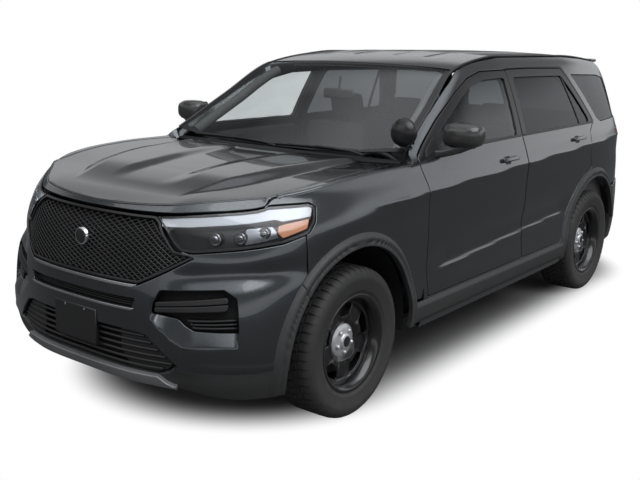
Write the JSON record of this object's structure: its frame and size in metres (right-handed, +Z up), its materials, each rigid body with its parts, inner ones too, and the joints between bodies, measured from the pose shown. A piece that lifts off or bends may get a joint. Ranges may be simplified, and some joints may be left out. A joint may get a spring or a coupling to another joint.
{
  "type": "police patrol car",
  "caption": "Dark grey utility patrol car with steel wheels, pillar spotlight, opening doors, hood and liftgate, steered front wheels.",
  "frame": {"origin": "middle of the footprint on the ground", "axes": "+X forwards, +Y to the driver side (left), +Z up"},
  "size_m": [5.05, 2.266, 1.757],
  "materials": {
    "body_paint": "gloss",
    "glass": "gloss",
    "black_plastic": "matte",
    "lamp_clear": "gloss",
    "lamp_red": "gloss",
    "seat_cloth": "matte",
    "underbody": "matte",
    "cast": "matte",
    "tyre": "matte",
    "wheel_steel": "satin"
  },
  "bodies": {
    "body": {"body_sides": "body_paint", "roof": "body_paint", "front_fenders": "body_paint", "front_bumper": "body_paint", "rear_bumper": "body_paint", "windscreen": "glass", "quarter_windows": "glass", "grille": "black_plastic", "cowl": "black_plastic", "side_cladding": "black_plastic", "plate_bracket": "black_plastic", "dashboard": "black_plastic", "steering_wheel": "black_plastic", "spotlight": "black_plastic", "headlamps": "lamp_clear", "tail_lamps": "lamp_red", "front_seats": "seat_cloth", "rear_bench": "seat_cloth", "floor_pan": "underbody", "front_frame": "underbody", "exhaust": "underbody", "front_axle": "cast", "rear_axle": "cast", "engine_block": "cast"},
    "door_front_left": {"door_front_left": "body_paint", "glass_front_left": "glass", "mirror_left": "black_plastic"},
    "door_rear_left": {"door_rear_left": "body_paint", "glass_rear_left": "glass"},
    "steer_left": {"knuckle_left": "cast"},
    "door_front_right": {"door_front_right": "body_paint", "glass_front_right": "glass", "mirror_right": "black_plastic"},
    "door_rear_right": {"door_rear_right": "body_paint", "glass_rear_right": "glass"},
    "steer_right": {"knuckle_right": "cast"},
    "hood": {"hood": "body_paint"},
    "liftgate": {"liftgate": "body_paint", "liftgate_glass": "glass"},
    "wheel_front_left": {"tyre_front_left": "tyre", "rim_front_left": "wheel_steel"},
    "wheel_front_right": {"tyre_front_right": "tyre", "rim_front_right": "wheel_steel"},
    "wheel_rear_left": {"tyre_rear_left": "tyre", "rim_rear_left": "wheel_steel"},
    "wheel_rear_right": {"tyre_rear_right": "tyre", "rim_rear_right": "wheel_steel"}
  },
  "joints": [
    {"name": "door_front_left_swing", "type": "hinge", "parent": "body", "child": "door_front_left", "pos_m": [0.868, 0.942, 0.8], "axis": [0, 0, -1], "range_deg": [0, 65]},
    {"name": "door_rear_left_swing", "type": "hinge", "parent": "body", "child": "door_rear_left", "pos_m": [-0.302, 0.942, 0.8], "axis": [0, 0, -1], "range_deg": [0, 70]},
    {"name": "door_front_right_swing", "type": "hinge", "parent": "body", "child": "door_front_right", "pos_m": [0.868, -0.942, 0.8], "axis": [0, 0, 1], "range_deg": [0, 65]},
    {"name": "door_rear_right_swing", "type": "hinge", "parent": "body", "child": "door_rear_right", "pos_m": [-0.302, -0.942, 0.8], "axis": [0, 0, 1], "range_deg": [0, 70]},
    {"name": "hood_lift", "type": "hinge", "parent": "body", "child": "hood", "pos_m": [1.04, 0, 1.163], "axis": [0, -1, 0], "range_deg": [0, 40]},
    {"name": "liftgate_lift", "type": "hinge", "parent": "body", "child": "liftgate", "pos_m": [-2.09, 0, 1.703], "axis": [0, 1, 0], "range_deg": [0, 80]},
    {"name": "steer_left_turn", "type": "hinge", "parent": "body", "child": "steer_left", "pos_m": [1.608, 0.7, 0.38], "axis": [0, 0, 1], "range_deg": [-30, 30]},
    {"name": "steer_right_turn", "type": "hinge", "parent": "body", "child": "steer_right", "pos_m": [1.608, -0.7, 0.38], "axis": [0, 0, 1], "range_deg": [-30, 30]},
    {"name": "wheel_front_left_spin", "type": "hinge", "parent": "steer_left", "child": "wheel_front_left", "pos_m": [1.608, 0.846, 0.38], "axis": [0, 1, 0], "continuous": true},
    {"name": "wheel_front_right_spin", "type": "hinge", "parent": "steer_right", "child": "wheel_front_right", "pos_m": [1.608, -0.846, 0.38], "axis": [0, 1, 0], "continuous": true},
    {"name": "wheel_rear_left_spin", "type": "hinge", "parent": "body", "child": "wheel_rear_left", "pos_m": [-1.417, 0.846, 0.38], "axis": [0, 1, 0], "continuous": true},
    {"name": "wheel_rear_right_spin", "type": "hinge", "parent": "body", "child": "wheel_rear_right", "pos_m": [-1.417, -0.846, 0.38], "axis": [0, 1, 0], "continuous": true}
  ],
  "couplings": [
    {"joint": "steer_right_turn", "follows": "steer_left_turn", "ratio": 1}
  ]
}
